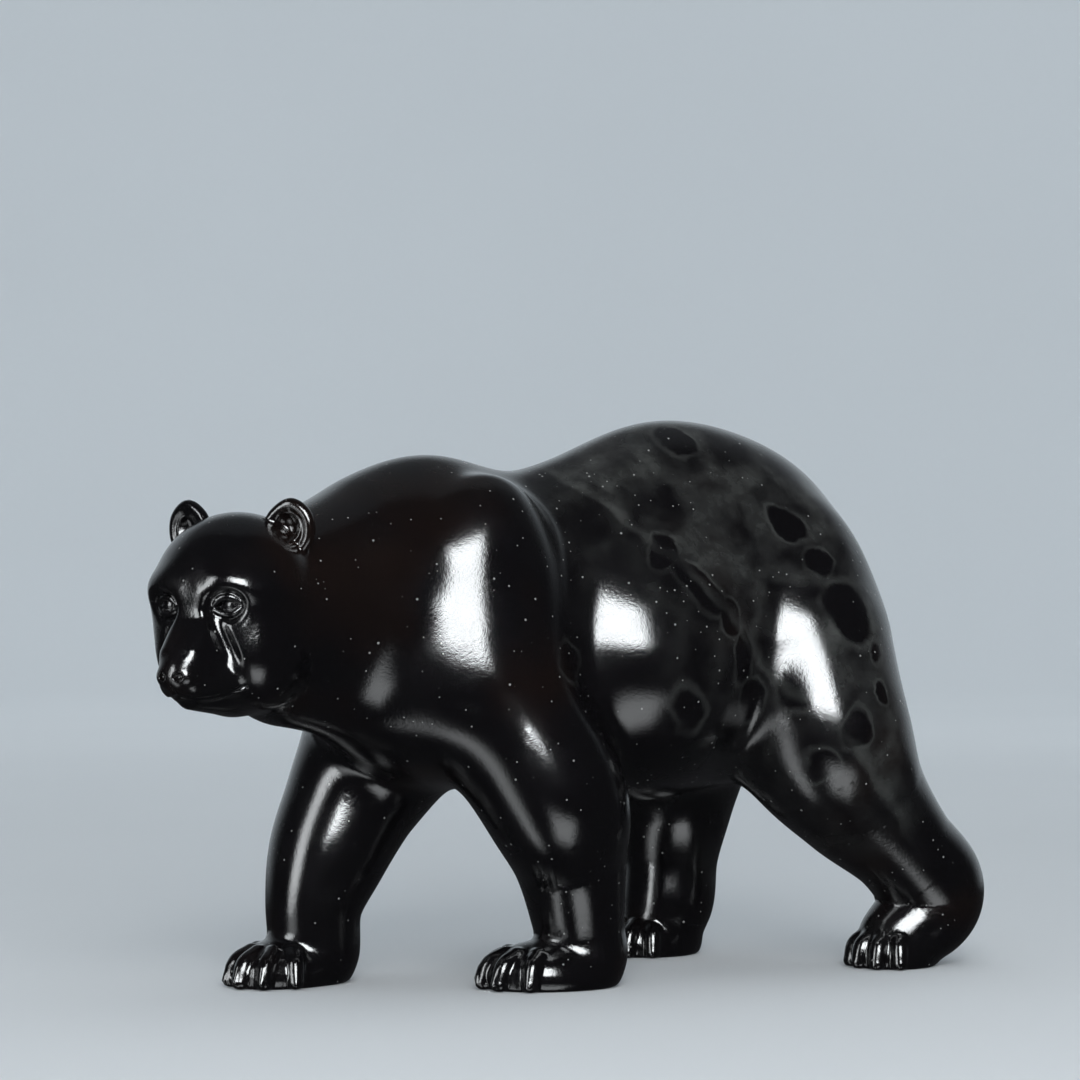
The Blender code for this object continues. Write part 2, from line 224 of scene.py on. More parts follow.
NEAR_HIND = (
    Ball((43.7, -13.7, 57.4), (16.3, 12.5, 26.4)),
    Tube(
        ((43.2, -14.6, 57.0), 16.4),
        ((45.0, -19.3, 42.5), 15.9),
        ((52.4, -19.1, 31.9), 12.7),
        ((61.2, -20.7, 22.4), 9.8),
        ((68.6, -20.0, 14.8), 9.9),
        ((67.6, -20.0, 9.5), 8.8),
        ((61.0, -19.6, 5.5), 6.4),
    ),
)
FAR_HIND = (
    Ball((37.0, 13.5, 57.0), (16.5, 12.4, 26.0)),
    Tube(
        ((35.9, 15.0, 57.0), 16.9),
        ((36.9, 18.0, 43.0), 16.2),
        ((39.0, 19.5, 29.0), 11.4),
        ((38.7, 20.0, 18.8), 9.1),
        ((37.9, 20.0, 10.0), 8.8),
        ((36.0, 20.0, 6.0), 7.0),
    ),
)
LIMBS = (NEAR_FORE, FAR_FORE, NEAR_HIND, FAR_HIND)

# The head's main masses, in the head's own directions.
SKULL = (
    Ball(on_head(0.3, 0.1, 2.5), (14.2, 14.1, 14.0), HEAD_AXES),
    Ball(on_head(1.8, 6.4, -6.4), (9.8, 7.4, 9.4), HEAD_AXES),
    Ball(on_head(1.6, -5.8, -6.0), (9.6, 6.5, 9.3), HEAD_AXES),
    Ball(on_head(-1.0, 0.0, -8.5), (12.0, 9.5, 8.6), HEAD_AXES),
)


def upper_lip(side):
    """The full lip on one side of the muzzle."""
    return Tube(
        (on_head(15.6, side * 1.7, -11.6), 2.4),
        (on_head(12.8, side * 2.9, -11.3), 2.8),
        (on_head(9.4, side * 4.4, -10.6), 3.0),
    )


MUZZLE = (
    Tube((on_head(6.5, 0.0, -4.6), 7.0), (on_head(11.8, 0.0, -7.4), 5.4), (on_head(15.8, 0.0, -9.8), 4.1)),
    upper_lip(1.0),
    upper_lip(-1.0),
)
CHIN = Tube((on_head(2.0, 0.0, -11.2), 6.0), (on_head(13.6, 0.0, -13.3), 2.5))
BRIDGE = Slab(on_head(13.4, 0.0, -3.9), (5.6, 3.7, 2.4), 1.7, turned_axes(HEAD_TURN, math.radians(54.0)))


class Paw:
    """A broad foot: where its middle stands, where its toes point, and its half-sizes."""

    TOES = 5
    FIRST_TOE = math.radians(-62.0)
    TOE_STEP = math.radians(31.0)

    def __init__(self, middle, heading, half_length, half_width, height):
        self.middle = np.array((*middle, 0.0))
        self.axes = turned_axes(heading)
        self.half_length = half_length
        self.half_width = half_width
        self.height = height
        self.foot = Ball(
            self.middle + (0.0, 0.0, 0.28 * height),
            (half_length, half_width, 0.72 * height),
            self.axes,
        )

    def spot(self, bearing, share, up):
        """A place over the sole, at a bearing from the toes' direction and a share of its edge."""
        forward = share * self.half_length * math.cos(bearing)
        left = share * self.half_width * math.sin(bearing)
        return self.middle + np.array((forward, left, up)) @ self.axes

    def toes(self):
        """Each toe: a bent knuckle that comes down to the floor, and a claw on it."""
        toes = []
        for index in range(self.TOES):
            bearing = self.FIRST_TOE + self.TOE_STEP * index
            knuckle = Tube(
                (self.spot(bearing, 0.66, 0.68 * self.height), 1.7),
                (self.spot(bearing, 0.90, 0.50 * self.height), 1.65),
                (self.spot(bearing, 0.99, 0.16 * self.height), 1.5),
            )
            claw = Tube(
                (self.spot(bearing, 1.02, 0.44 * self.height), 0.75),
                (self.spot(bearing, 1.13, 0.06 * self.height), 0.5),
            )
            toes.append((knuckle, claw))
        return toes

    def near(self, points):
        return np.linalg.norm(points - self.middle, axis=1) < 1.8 * self.half_length

    def add(self, points, solid):
        solid = melt(solid, self.foot.distance(points), 2.5)
        for knuckle, claw in self.toes():
            solid = melt(solid, knuckle.distance(points), 0.7)
            solid = melt(solid, claw.distance(points), 0.4)
        return solid


INWARD = math.radians(16.0)
PAWS = (
    Paw((-9.3, -14.2), -INWARD, 12.1, 7.9, 8.4),
    Paw((-44.5, 14.3), INWARD, 12.1, 7.9, 8.4),
    Paw((60.9, -19.8), 0.0, 8.2, 7.2, 8.0),
    Paw((34.8, 20.0), 0.0, 9.8, 7.6, 8.2),
)


def ear_rim(side):
    """The rolled rim of an ear, from its inner foot over its top to its outer foot."""
    return Tube(
        (on_head(0.4, side * 5.8, 13.0), 0.9),
        (on_head(0.2, side * 7.1, 15.9), 1.0),
        (on_head(-0.2, side * 10.1, 17.6), 1.1),
        (on_head(-0.8, side * 12.7, 15.7), 1.1),
        (on_head(-1.0, side * 13.1, 12.5), 1.0),
        (on_head(-0.8, side * 11.6, 9.8), 0.8),
    )


def add_ear(points, solid, side):
    """A round cupped ear with a rolled rim, leaning outward and facing a little to its side."""
    axes = turned_axes(HEAD_TURN + side * math.radians(15.0))
    shell = Ball(on_head(-1.1, side * 9.8, 13.7), (2.0, 3.8, 3.9), axes)
    hollow = Ball(on_head(1.9, side * 10.0, 13.8), (2.9, 2.6, 2.8), axes)
    ear = melt(shell.distance(points), ear_rim(side).distance(points), 0.8)
    ear = carve(ear, hollow.distance(points), 0.5)
    return melt(solid, ear, 0.9)


def add_eye(points, solid, side):
    """A small eye in its socket between two lids, and the fold that runs down from it."""
    socket = Ball(on_head(14.3, side * 6.6, 0.7), (3.5, 3.7, 3.0), HEAD_AXES)
    eyeball = Ball(on_head(10.0, side * 5.8, 1.1), (1.9, 2.2, 1.6), HEAD_AXES)
    inner_corner = on_head(12.4, side * 3.0, 0.6)
    outer_corner = on_head(10.6, side * 8.3, 1.2)
    upper_lid = Tube(
        (inner_corner, 0.35),
        (on_head(12.5, side * 4.6, 2.1), 0.55),
        (on_head(11.9, side * 6.5, 2.4), 0.6),
        (outer_corner, 0.4),
    )
    lower_lid = Tube(
        (inner_corner, 0.35),
        (on_head(12.1, side * 4.8, -0.2), 0.5),
        (on_head(11.6, side * 6.7, -0.2), 0.5),
        (outer_corner, 0.4),
    )
    fold = Tube(
        (on_head(13.9, side * 4.0, 0.4), 1.1),
        (on_head(13.4, side * 5.4, -3.0), 1.3),
        (on_head(12.6, side * 6.8, -6.6), 1.3),
        (on_head(12.2, side * 8.0, -8.8), 0.9),
    )
    solid = carve(solid, socket.distance(points), 2.2)
    solid = carve(solid, fold.distance(points), 1.0)
    solid = melt(solid, eyeball.distance(points), 0.3)
    solid = melt(solid, upper_lid.distance(points), 0.45)
    return melt(solid, lower_lid.distance(points), 0.45)


def add_brow(points, solid, side):
    """The ridge over an eye, from the bridge of the nose round to the side of the head."""
    ridge = Tube(
        (on_head(11.8, side * 2.6, 3.6), 1.7),
        (on_head(11.5, side * 4.9, 4.4), 2.2),
        (on_head(10.3, side * 7.4, 4.2), 2.2),
        (on_head(8.7, side * 9.0, 3.8), 2.0),
        (on_head(5.4, side * 11.2, 3.0), 1.4),
        (on_head(0.6, side * 12.6, 2.2), 1.2),
    )
    tear_bump = Ball(on_head(13.0, side * 2.7, 1.6), (1.3, 1.0, 0.9), HEAD_AXES)
    solid = melt(solid, ridge.distance(points), 4.0)
    return melt(solid, tear_bump.distance(points), 0.6)


def add_nose(points, solid):
    """The nose pad, its two nostrils, and the groove from the pad to the lips."""
    pad = Ball(on_head(17.8, 0.0, -10.3), (2.2, 3.6, 2.4), turned_axes(HEAD_TURN, math.radians(12.0)))
    solid = melt(solid, pad.distance(points), 0.6)
    for side in (-1.0, 1.0):
        nostril = Ball(on_head(19.6, side * 1.5, -10.3), (1.1, 0.8, 0.65), HEAD_AXES)
        solid = carve(solid, nostril.distance(points), 0.4)
    groove = Tube((on_head(19.4, 0.0, -12.2), 0.35), (on_head(18.2, 0.0, -13.6), 0.35))
    return carve(solid, groove.distance(points), 0.4)


def add_mouth(points, solid):
    """The line of the mouth, rising to its corners under the cheeks."""
    for side in (-1.0, 1.0):
        line = Tube(
            (on_head(17.7, 0.0, -13.8), 0.5),
            (on_head(15.9, side * 2.6, -14.2), 0.5),
            (on_head(13.4, side * 4.4, -13.9), 0.5),
            (on_head(11.0, side * 6.1, -13.0), 0.5),
            (on_head(9.5, side * 7.6, -12.0), 0.4),
        )
        solid = carve(solid, line.distance(points), 0.5)
    return solid


def add_head(points, solid):
    """The head with its muzzle, and all that the face has."""
    head = melt_all(SKULL, points, 5.0)
    head = melt(head, melt_all(MUZZLE, points, 1.5), 1.6)
    head = melt(head, BRIDGE.distance(points), 2.4)
    head = melt(head, CHIN.distance(points), 1.5)
    for side in (-1.0, 1.0):
        head = add_brow(points, head, side)
        head = add_eye(points, head, side)
        head = add_ear(points, head, side)
    head = add_nose(points, head)
    head = add_mouth(points, head)
    return melt(solid, head, 1.6)


# How widely the masses melt into one another, and how far from its centre the head is worked out.
TRUNK_FILLET = 12.0
THROAT_FILLET = 6.0
NECK_FILLET = 10.0
LIMB_FILLET = 8.0
HEAD_REACH = 34.0


def surface(points):
    """Signed distance to the bear's skin, at points given in hundredths of its height."""
    solid = melt_all(TRUNK, points, TRUNK_FILLET)
    solid = melt(solid, melt_all(NECK, points, THROAT_FILLET), NECK_FILLET)
    for muscle, leg in LIMBS:
        limb = melt(muscle.distance(points), leg.distance(points), LIMB_FILLET)
        solid = melt(solid, limb, LIMB_FILLET)
    near_head = np.linalg.norm(points - HEAD_CENTRE, axis=1) < HEAD_REACH
    solid[near_head] = add_head(points[near_head], solid[near_head])
    for paw in PAWS:
        near_paw = paw.near(points)
        solid[near_paw] = paw.add(points[near_paw], solid[near_paw])
    return solid


# How softly the soles' edges are rounded, in shares.
SOLE_ROUNDING = 0.9


def skin(points):
    """The bear's surface, cut flat at the floor with a rounded edge."""
    return carve(surface(points), points[:, 2], SOLE_ROUNDING)


def slopes(points):
    """The distance at each point and the direction in which it grows."""
    step = 0.04
    corners = np.array(((1, 1, 1), (1, -1, -1), (-1, 1, -1), (-1, -1, 1))) * step
    distance = np.zeros(len(points))
    change = np.zeros_like(points)
    for corner in corners:
        there = skin(points + corner)
        distance += there / 4.0
        change += there[:, None] * corner / (4.0 * step ** 2)
    return distance, change


def mesh_points(mesh):
    """A mesh's points in shares."""
    points = np.empty(len(mesh.vertices) * 3)
    mesh.vertices.foreach_get("co", points)
    return points.reshape(-1, 3) / SHARE


def press_to_surface(mesh, rounds, chosen=None):
    """Even out a mesh's points, or only the chosen ones, and move each onto the surface."""
    points = mesh_points(mesh)
    ends = np.empty(len(mesh.edges) * 2, dtype=int)
    mesh.edges.foreach_get("vertices", ends)
    ends = ends.reshape(-1, 2)
    count = np.maximum(np.bincount(ends.ravel(), minlength=len(points)), 1)
    rows = np.arange(len(points)) if chosen is None else np.flatnonzero(chosen)
    longest_move = 2.0
    least_steepness = 0.05
    evening = 0.4
    for _ in range(rounds):
        distance, slope = slopes(points[rows])
        steepness = np.maximum((slope ** 2).sum(axis=1), least_steepness)
        move = np.clip(distance / steepness, -longest_move, longest_move)
        points[rows] -= move[:, None] * slope
        middle = np.zeros_like(points)
        for axis in range(3):
            middle[:, axis] += np.bincount(ends[:, 0], points[ends[:, 1], axis], len(points))
            middle[:, axis] += np.bincount(ends[:, 1], points[ends[:, 0], axis], len(points))
        drift = (middle / count[:, None] - points)[rows]
        normal = slope / np.sqrt(steepness)[:, None]
        drift -= (drift * normal).sum(axis=1)[:, None] * normal
        points[rows] += evening * drift
    distance, slope = slopes(points[rows])
    steepness = np.maximum((slope ** 2).sum(axis=1), least_steepness)
    points[rows] -= (distance / steepness)[:, None] * slope
    mesh.vertices.foreach_set("co", (points * SHARE).ravel())
    mesh.update()


def blocked_out():
    """All masses of the figure in one mesh, as overlapping balls."""
    block = bmesh.new()
    for mass in TRUNK + NECK + SKULL + MUZZLE:
        mass.block(block)
    for muscle, leg in LIMBS:
        muscle.block(block)
        leg.block(block)
    for side in (-1.0, 1.0):
        Ball(on_head(-0.5, side * 9.9, 13.8), (2.6, 4.2, 4.6), HEAD_AXES).block(block)
        ear_rim(side).block(block)
    for paw in PAWS:
        paw.foot.block(block)
        for knuckle, _ in paw.toes():
            knuckle.block(block)
    bmesh.ops.scale(block, vec=Vector((SHARE, SHARE, SHARE)), verts=block.verts)
    mesh = bpy.data.meshes.new("bear_skin")
    block.to_mesh(mesh)
    block.free()
    bear = bpy.data.objects.new("bear_skin", mesh)
    bpy.context.scene.collection.objects.link(bear)
    return bear


def apply_modifiers(bear):
    """Keep the mesh that the bear's modifiers make."""
    graph = bpy.context.evaluated_depsgraph_get()
    mesh = bpy.data.meshes.new_from_object(bear.evaluated_get(graph))
    bear.modifiers.clear()
    old = bear.data
    bear.data = mesh
    bpy.data.meshes.remove(old)


def one_skin(bear, grid, rounds):
    """Wrap everything in one closed skin of an even grid, and press it into shape."""
    remesh = bear.modifiers.new("One skin", "REMESH")
    remesh.mode = "VOXEL"
    remesh.voxel_size = grid
    apply_modifiers(bear)
    press_to_surface(bear.data, rounds)


def where_face(points):
    """True on the eyes, the muzzle and the ears."""
    local = (points - HEAD_CENTRE) @ HEAD_AXES.T
    front = (local[:, 0] > 6.5) & (np.abs(local[:, 1]) < 10.5) & (local[:, 2] < 5.0)
    ears = (np.abs(local[:, 0]) < 4.0) & (local[:, 2] > 8.5)
    return (np.linalg.norm(local, axis=1) < 30.0) & (front | ears)


def where_toes(points):
    """True on the toes and claws."""
    found = np.zeros(len(points), dtype=bool)
    for paw in PAWS:
        local = (points - paw.middle) @ paw.axes.T
        edge = np.hypot(local[:, 0] / paw.half_length, local[:, 1] / paw.half_width)
        ahead = local[:, 0] > 0.1 * paw.half_length
        found |= ahead & (edge > 0.5) & (edge < 1.5) & (points[:, 2] < 1.1 * paw.height)
    return found


def refine(bear, where, rounds):
    """Halve the grid in one area, and press its points into shape."""
    chosen = where(mesh_points(bear.data))
    body = bmesh.new()
    body.from_mesh(bear.data)
    body.verts.ensure_lookup_table()
    edges = [edge for edge in body.edges if all(chosen[vert.index] for vert in edge.verts)]
    bmesh.ops.subdivide_edges(body, edges=edges, cuts=1, use_grid_fill=True)
    body.to_mesh(bear.data)
    body.free()
    press_to_surface(bear.data, rounds, where(mesh_points(bear.data)))


def thin_out(bear):
    """Join the smallest flat faces until the piece is within its number of triangles."""
    count = sum(len(face.vertices) - 2 for face in bear.data.polygons)
    if count > TRIANGLES:
        fewer = bear.modifiers.new("Fewer triangles", "DECIMATE")
        fewer.ratio = TRIANGLES / count
        apply_modifiers(bear)


def drawn_bear():
    """The bear on its fine skin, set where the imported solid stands."""
    bear = blocked_out()
    one_skin(bear, ROUGH_GRID, 5)
    one_skin(bear, SKIN_GRID, 4)
    refine(bear, where_toes, 3)
    refine(bear, where_face, 3)
    refine(bear, where_face, 3)
    thin_out(bear)
    points = mesh_points(bear.data)
    slope = slopes(points)[1]
    slope /= np.linalg.norm(slope, axis=1)[:, None]
    low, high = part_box("bear")
    middle = (Vector(points.min(axis=0)) + Vector(points.max(axis=0))) / 2 * SHARE
    shift = np.array(((low[0] + high[0]) / 2 - middle.x, (low[1] + high[1]) / 2 - middle.y, 0.0))
    bear.data.vertices.foreach_set("co", (points * SHARE + shift).ravel())
    bear.data.shade_smooth()
    bear.data.normals_split_custom_set_from_vertices(slope)
    bear.data.update()
    return bear, shift


class Nodes:
    """A short way to write a node tree: each call makes a node and gives its first output."""

    def __init__(self, tree):
        self.tree = tree

    def make(self, kind, output=0, settings=(), **inputs):
        """Make a node; an input is given by its name, or by its number after an underscore."""
        node = self.tree.nodes.new(kind)
        for name, value in dict(settings).items():
            setattr(node, name, value)
        for name, value in inputs.items():
            self.fill(node.inputs[int(name[1:]) if name[1:].isdigit() else name], value)
        return node.outputs[output]

    def fill(self, socket, value):
        """Set a socket to a value, or link another node's output to it."""
        if isinstance(value, bpy.types.NodeSocket):
            self.tree.links.new(value, socket)
        else:
            socket.default_value = value

    def math(self, operation, first, second=0.0, third=0.0):
        return self.make(
            "ShaderNodeMath", settings={"operation": operation}, _0=first, _1=second, _2=third
        )

    def ramp(self, value, low, high, bottom=0.0, top=1.0):
        """A soft step from bottom to top as the value goes from low to high."""
        return self.make(
            "ShaderNodeMapRange",
            settings={"interpolation_type": "SMOOTHSTEP"},
            _0=value, _1=low, _2=high, _3=bottom, _4=top,
        )

    def noise(self, place, scale, detail=2.0, roughness=0.5):
        return self.make("ShaderNodeTexNoise", Vector=place, Scale=scale, Detail=detail, Roughness=roughness)

    def mix(self, share, first, second):
        """Blend two colours."""
        node = self.tree.nodes.new("ShaderNodeMix")
        node.data_type = "RGBA"
        self.fill(node.inputs["Factor"], share)
        self.fill(node.inputs[6], first)
        self.fill(node.inputs[7], second)
        return node.outputs[2]


# The dark drops in the patina: place, half-sizes and tilt, in shares and degrees.
DROPS = (
    ((20.0, -11.6, 95.2), (3.4, 9.0, 3.3), 0.0),
    ((36.0, -21.8, 80.3), (4.7, 7.0, 2.7), 40.0),
    ((40.5, -24.6, 73.2), (2.8, 6.0, 2.8), 0.0),
    ((43.4, -30.2, 64.2), (5.2, 9.0, 6.2), 0.0),
    ((32.9, -29.0, 51.6), (3.6, 8.0, 4.5), 0.0),
    ((40.8, -32.3, 44.3), (2.9, 8.0, 3.9), 20.0),
    ((36.2, -28.0, 37.6), (3.1, 8.0, 3.0), 0.0),
    ((22.2, -25.2, 56.9), (2.6, 8.0, 5.0), 0.0),
    ((10.6, -22.6, 48.6), (3.6, 8.0, 5.2), -35.0),
    ((25.4, -25.0, 49.2), (2.7, 8.0, 4.0), -12.0),
    ((-11.6, -25.0, 56.0), (2.6, 8.0, 3.6), 0.0),
    ((14.3, -24.8, 68.2), (5.8, 8.0, 3.0), 45.0),
    ((19.0, -25.8, 63.2), (2.4, 8.0, 3.4), 20.0),
    ((9.0, -21.5, 74.6), (2.6, 8.0, 3.8), 30.0),
    ((47.0, -31.0, 50.4), (1.8, 6.0, 2.4), 0.0),
    ((47.8, -27.0, 57.0), (2.2, 7.0, 3.0), 10.0),
)

# The pale vein that parts the dark fore half from the cloudy hind half: a line on the flank,
# as its direction across and up, and its distance from the middle, in shares.
VEIN_ACROSS = 0.73
VEIN_UP = 0.68
VEIN_DISTANCE = 56.9


def drop_edge_distance(nodes, place):
    """Distance to the nearest drop, 1 on its edge, with the far side mirrored from the near one."""
    parts = nodes.tree.nodes.new("ShaderNodeSeparateXYZ")
    nodes.tree.links.new(place, parts.inputs[0])
    near = nodes.math("MULTIPLY", nodes.math("ABSOLUTE", parts.outputs[1]), -1.0)
    both = nodes.make("ShaderNodeCombineXYZ", _0=parts.outputs[0], _1=near, _2=parts.outputs[2])
    nearest = None
    for centre, half_sizes, tilt in DROPS:
        local = nodes.make(
            "ShaderNodeMapping",
            settings={"vector_type": "TEXTURE"},
            Vector=both, Location=centre, Rotation=(0.0, math.radians(tilt), 0.0), Scale=half_sizes,
        )
        length = nodes.make("ShaderNodeVectorMath", output=1, settings={"operation": "LENGTH"}, _0=local)
        nearest = length if nearest is None else nodes.math("MINIMUM", nearest, length)
    return nearest


def wandering(nodes, place):
    """Places bent to and fro, so that the patina's edges run unevenly."""
    bend = 4.4
    wander = nodes.make("ShaderNodeTexNoise", output=1, Vector=place, Scale=0.16, Detail=3.0)
    bent = nodes.make(
        "ShaderNodeVectorMath", settings={"operation": "MULTIPLY_ADD"},
        _0=wander, _1=(bend, bend, bend), _2=place,
    )
    half = (bend / 2, bend / 2, bend / 2)
    return nodes.make("ShaderNodeVectorMath", settings={"operation": "SUBTRACT"}, _0=bent, _1=half)


def patina(nodes, place):
    """How grey the patina is: clouds and a web on the hind half, and pale rims round its drops."""
    bent = wandering(nodes, place)
    edge = drop_edge_distance(nodes, bent)
    outside = nodes.ramp(edge, 0.82, 1.05)
    rim = nodes.math("MULTIPLY", outside, nodes.ramp(edge, 1.04, 1.30, 1.0, 0.0))

    parts = nodes.tree.nodes.new("ShaderNodeSeparateXYZ")
    nodes.tree.links.new(bent, parts.inputs[0])
    along, height = parts.outputs[0], parts.outputs[2]
    across = nodes.math(
        "ADD", nodes.math("MULTIPLY", along, VEIN_ACROSS), nodes.math("MULTIPLY", height, VEIN_UP)
    )
    beyond = nodes.math("SUBTRACT", across, VEIN_DISTANCE)
    hind = nodes.math(
        "ADD", nodes.ramp(beyond, -24.0, -6.0, 0.0, 0.3), nodes.ramp(beyond, -0.7, 1.2, 0.0, 0.7)
    )
    tail_end = nodes.ramp(along, 46.0, 62.0, 1.0, 0.0)

    web_cells = nodes.make(
        "ShaderNodeTexVoronoi", settings={"feature": "DISTANCE_TO_EDGE"}, Vector=bent, Scale=0.078
    )
    web = nodes.ramp(web_cells, 0.0, 0.24, 1.0, 0.0)
    clouds = nodes.ramp(nodes.noise(bent, 0.055, 3.0, 0.6), 0.38, 0.66)
    wisps = nodes.ramp(nodes.noise(bent, 0.21, 4.0, 0.65), 0.3, 0.75, 0.3, 1.0)
    haze = nodes.math("ADD", nodes.math("MULTIPLY", clouds, 0.42), nodes.math("MULTIPLY", web, 0.5))
    amount = nodes.math("MULTIPLY", haze, wisps)
    amount = nodes.math("MULTIPLY", amount, nodes.math("MULTIPLY", hind, tail_end))
    amount = nodes.math("MULTIPLY", amount, outside)

    vein = nodes.math("MULTIPLY", nodes.ramp(beyond, -0.7, 0.5), nodes.ramp(beyond, 0.5, 2.4, 1.0, 0.0))
    broken = nodes.ramp(nodes.noise(place, 0.11, 2.0), 0.35, 0.6, 0.3, 1.0)
    halo = nodes.math("MULTIPLY", rim, nodes.ramp(along, -18.0, -10.0))
    rims = nodes.math("MAXIMUM", halo, vein)
    rims = nodes.math("MULTIPLY", rims, nodes.math("MULTIPLY", tail_end, broken))
    return nodes.math("ADD", amount, nodes.math("MULTIPLY", rims, 0.32))


def dust_specks(nodes, place):
    """Where fine pale specks of dust lie in the lacquer: 1 on a speck, 0 elsewhere."""
    cells = nodes.tree.nodes.new("ShaderNodeTexVoronoi")
    cells.inputs["Scale"].default_value = 0.8
    nodes.tree.links.new(place, cells.inputs["Vector"])
    luck = nodes.make("ShaderNodeSeparateColor", _0=cells.outputs["Color"])
    speck_size = nodes.math("MULTIPLY", nodes.math("POWER", luck, 4.0), 0.17)
    return nodes.math("LESS_THAN", cells.outputs["Distance"], speck_size)


BLACK = (0.0030, 0.0027, 0.0032, 1.0)
BROWN_BLACK = (0.0062, 0.0036, 0.0030, 1.0)
PATINA_GREY = (0.060, 0.062, 0.059, 1.0)
DUST_GREY = (0.30, 0.30, 0.29, 1.0)

# How far the orange peel and the specks stand out from the lacquer, in metres.
RELIEF_HEIGHT = 0.00026


def black_lacquer(shift):
    """Near-black patina with grey clouds and drops, under a thick clear coat with orange peel."""
    material = bpy.data.materials.new("black_lacquer_finish")
    material.use_nodes = True
    nodes = Nodes(material.node_tree)
    shader = material.node_tree.nodes["Principled BSDF"]
    metres = nodes.make("ShaderNodeTexCoord", output=3)
    place = nodes.make(
        "ShaderNodeMapping",
        settings={"vector_type": "TEXTURE"},
        Vector=metres, Location=tuple(shift), Scale=(SHARE, SHARE, SHARE),
    )
    grey = patina(nodes, place)
    brown = nodes.ramp(nodes.noise(place, 0.035, 2.0), 0.5, 0.72)
    base = nodes.mix(brown, BLACK, BROWN_BLACK)
    colour = nodes.mix(nodes.math("MULTIPLY", grey, 0.9), base, PATINA_GREY)
    speck = dust_specks(nodes, place)
    colour = nodes.mix(nodes.math("MULTIPLY", speck, 0.8), colour, DUST_GREY)
    nodes.fill(shader.inputs["Base Color"], colour)

    peel = nodes.noise(place, 1.7, 1.0, 0.5)
    grain = nodes.noise(place, 4.4, 2.0, 0.6)
    relief = nodes.math("ADD", nodes.math("MULTIPLY", peel, 0.24), nodes.math("MULTIPLY", grain, 0.24))
    relief = nodes.math("ADD", relief, nodes.math("MULTIPLY", speck, 0.9))
    bump = nodes.make("ShaderNodeBump", Height=relief, Strength=0.5, Distance=RELIEF_HEIGHT)
    nodes.fill(shader.inputs["Coat Normal"], bump)
    nodes.fill(shader.inputs["Normal"], bump)
    roughness = nodes.ramp(nodes.noise(place, 0.12, 3.0), 0.3, 0.7, 0.16, 0.30)
    nodes.fill(shader.inputs["Roughness"], roughness)
    shader.inputs["Coat Weight"].default_value = 1.0
    shader.inputs["Coat Roughness"].default_value = 0.035
    shader.inputs["Coat IOR"].default_value = 1.55
    shader.inputs["Specular IOR Level"].default_value = 0.12
    return material


# The camera stands at the photograph's place, in the shape's own frame.
CAMERA_PLACE = (-0.5807, -0.9210, 0.1276)
CAMERA_ANGLES = (91.074, 0.0, -32.0)
CAMERA_LENS = 106.67

def add_camera(shift):
    """The photograph's viewpoint."""
    camera = bpy.data.objects.new("camera", bpy.data.cameras.new("camera"))
    bpy.context.scene.collection.objects.link(camera)
    camera.data.sensor_width = 36.0
    camera.data.lens = CAMERA_LENS
    camera.location = Vector(CAMERA_PLACE) + Vector(shift)
    camera.rotation_euler = [math.radians(angle) for angle in CAMERA_ANGLES]
    bpy.context.scene.camera = camera


# The room: the flat floor's radius, the radius of its bend up into the wall, and its height.
ROOM_RADIUS = 3.0
ROOM_BEND = 1.0
ROOM_HEIGHT = 3.2
ROOM_STEPS = 12
ROOM_SIDES = 96

PAPER_TONES = ((0.555, 0.575, 0.59, 1.0), (0.575, 0.595, 0.61, 1.0))
PAPER_GLOW = (0.50, 0.545, 0.58, 1.0)


def pale_paper():
    """Pale grey paper, a little brighter away from the bear, as under the studio's other lamps."""
    paint = bpy.data.materials.new("pale_paper")
    paint.use_nodes = True
    nodes = Nodes(paint.node_tree)
    shader = paint.node_tree.nodes["Principled BSDF"]
    place = nodes.make("ShaderNodeTexCoord", output=3)
    tone = nodes.ramp(nodes.noise(place, 1.3, 2.0), 0.3, 0.7)
    nodes.fill(shader.inputs["Base Color"], nodes.mix(tone, *PAPER_TONES))
    shader.inputs["Roughness"].default_value = 0.9
    shader.inputs["Specular IOR Level"].default_value = 0.1
    away = nodes.make("ShaderNodeVectorMath", output=1, settings={"operation": "LENGTH"}, _0=place)
    nodes.fill(shader.inputs["Emission Strength"], nodes.ramp(away, 0.1, 2.4, 0.10, 0.36))
    shader.inputs["Emission Color"].default_value = PAPER_GLOW
    # The glow is even and all around, so it needs no sampling as a lamp.
    paint.cycles.emission_sampling = "NONE"
    return paint


